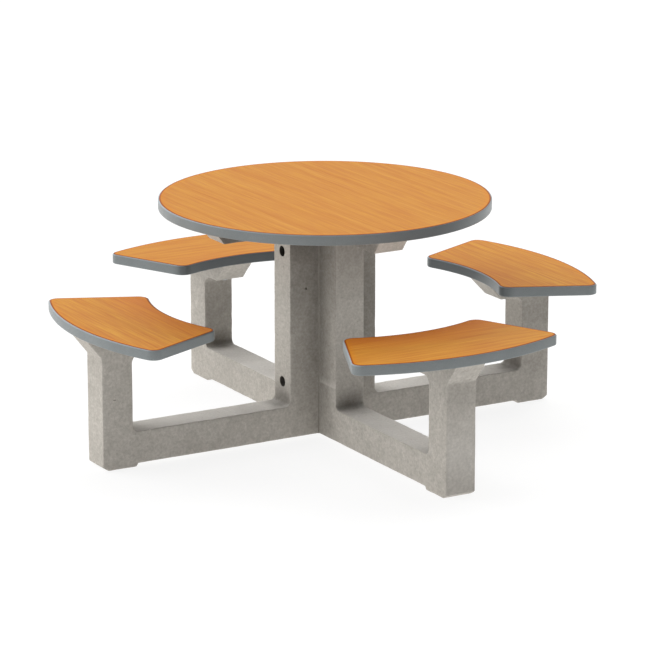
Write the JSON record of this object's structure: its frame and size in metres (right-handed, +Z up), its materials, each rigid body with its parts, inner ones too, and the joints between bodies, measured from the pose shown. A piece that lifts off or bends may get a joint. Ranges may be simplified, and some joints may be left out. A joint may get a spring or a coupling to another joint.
{
  "type": "table with attached seats",
  "caption": "Round table with fixed wedge-shaped seats on a cross of bolted precast concrete frames; wood-grain panels with grey edge bands.",
  "frame": {"origin": "centre of the base on the ground, under the middle of the round top", "axes": "+Z up; +X along the main frame towards the right seat; -Y along the front half frame"},
  "size_m": [1.711, 1.711, 0.75],
  "materials": {
    "concrete": "matte",
    "reinforcing_steel": "matte",
    "joint_rubber": "matte",
    "zinc_plated_steel": "satin",
    "brass_insert": "satin",
    "table_laminate": "satin",
    "seat_laminate_x": "satin",
    "seat_laminate_y": "satin",
    "panel_core": "matte",
    "panel_backer": "matte",
    "edge_band": "satin"
  },
  "bodies": {
    "root": {"back_frame": "concrete", "back_frame_bars": "reinforcing_steel", "back_joint_pad": "joint_rubber", "back_seat_backer": "panel_backer", "back_seat_core": "panel_core", "back_seat_edge_band": "edge_band", "back_seat_laminate": "seat_laminate_x", "front_frame": "concrete", "front_frame_bars": "reinforcing_steel", "front_joint_pad": "joint_rubber", "front_seat_backer": "panel_backer", "front_seat_core": "panel_core", "front_seat_edge_band": "edge_band", "front_seat_laminate": "seat_laminate_x", "left_seat_backer": "panel_backer", "left_seat_core": "panel_core", "left_seat_edge_band": "edge_band", "left_seat_laminate": "seat_laminate_y", "lower_tie_rod": "zinc_plated_steel", "main_frame": "concrete", "main_frame_base_bars": "reinforcing_steel", "main_frame_pillar_bars": "reinforcing_steel", "right_seat_backer": "panel_backer", "right_seat_core": "panel_core", "right_seat_edge_band": "edge_band", "right_seat_laminate": "seat_laminate_y", "seat_bolt_washers": "zinc_plated_steel", "seat_bolts": "zinc_plated_steel", "seat_dowels": "zinc_plated_steel", "seat_threaded_inserts": "brass_insert", "table_backer": "panel_backer", "table_bolt_washers": "zinc_plated_steel", "table_bolts": "zinc_plated_steel", "table_core": "panel_core", "table_edge_band": "edge_band", "table_laminate": "table_laminate", "table_threaded_inserts": "brass_insert", "tie_rod_nuts": "zinc_plated_steel", "tie_rod_washers": "zinc_plated_steel", "upper_tie_rod": "zinc_plated_steel"}
  },
  "joints": []
}
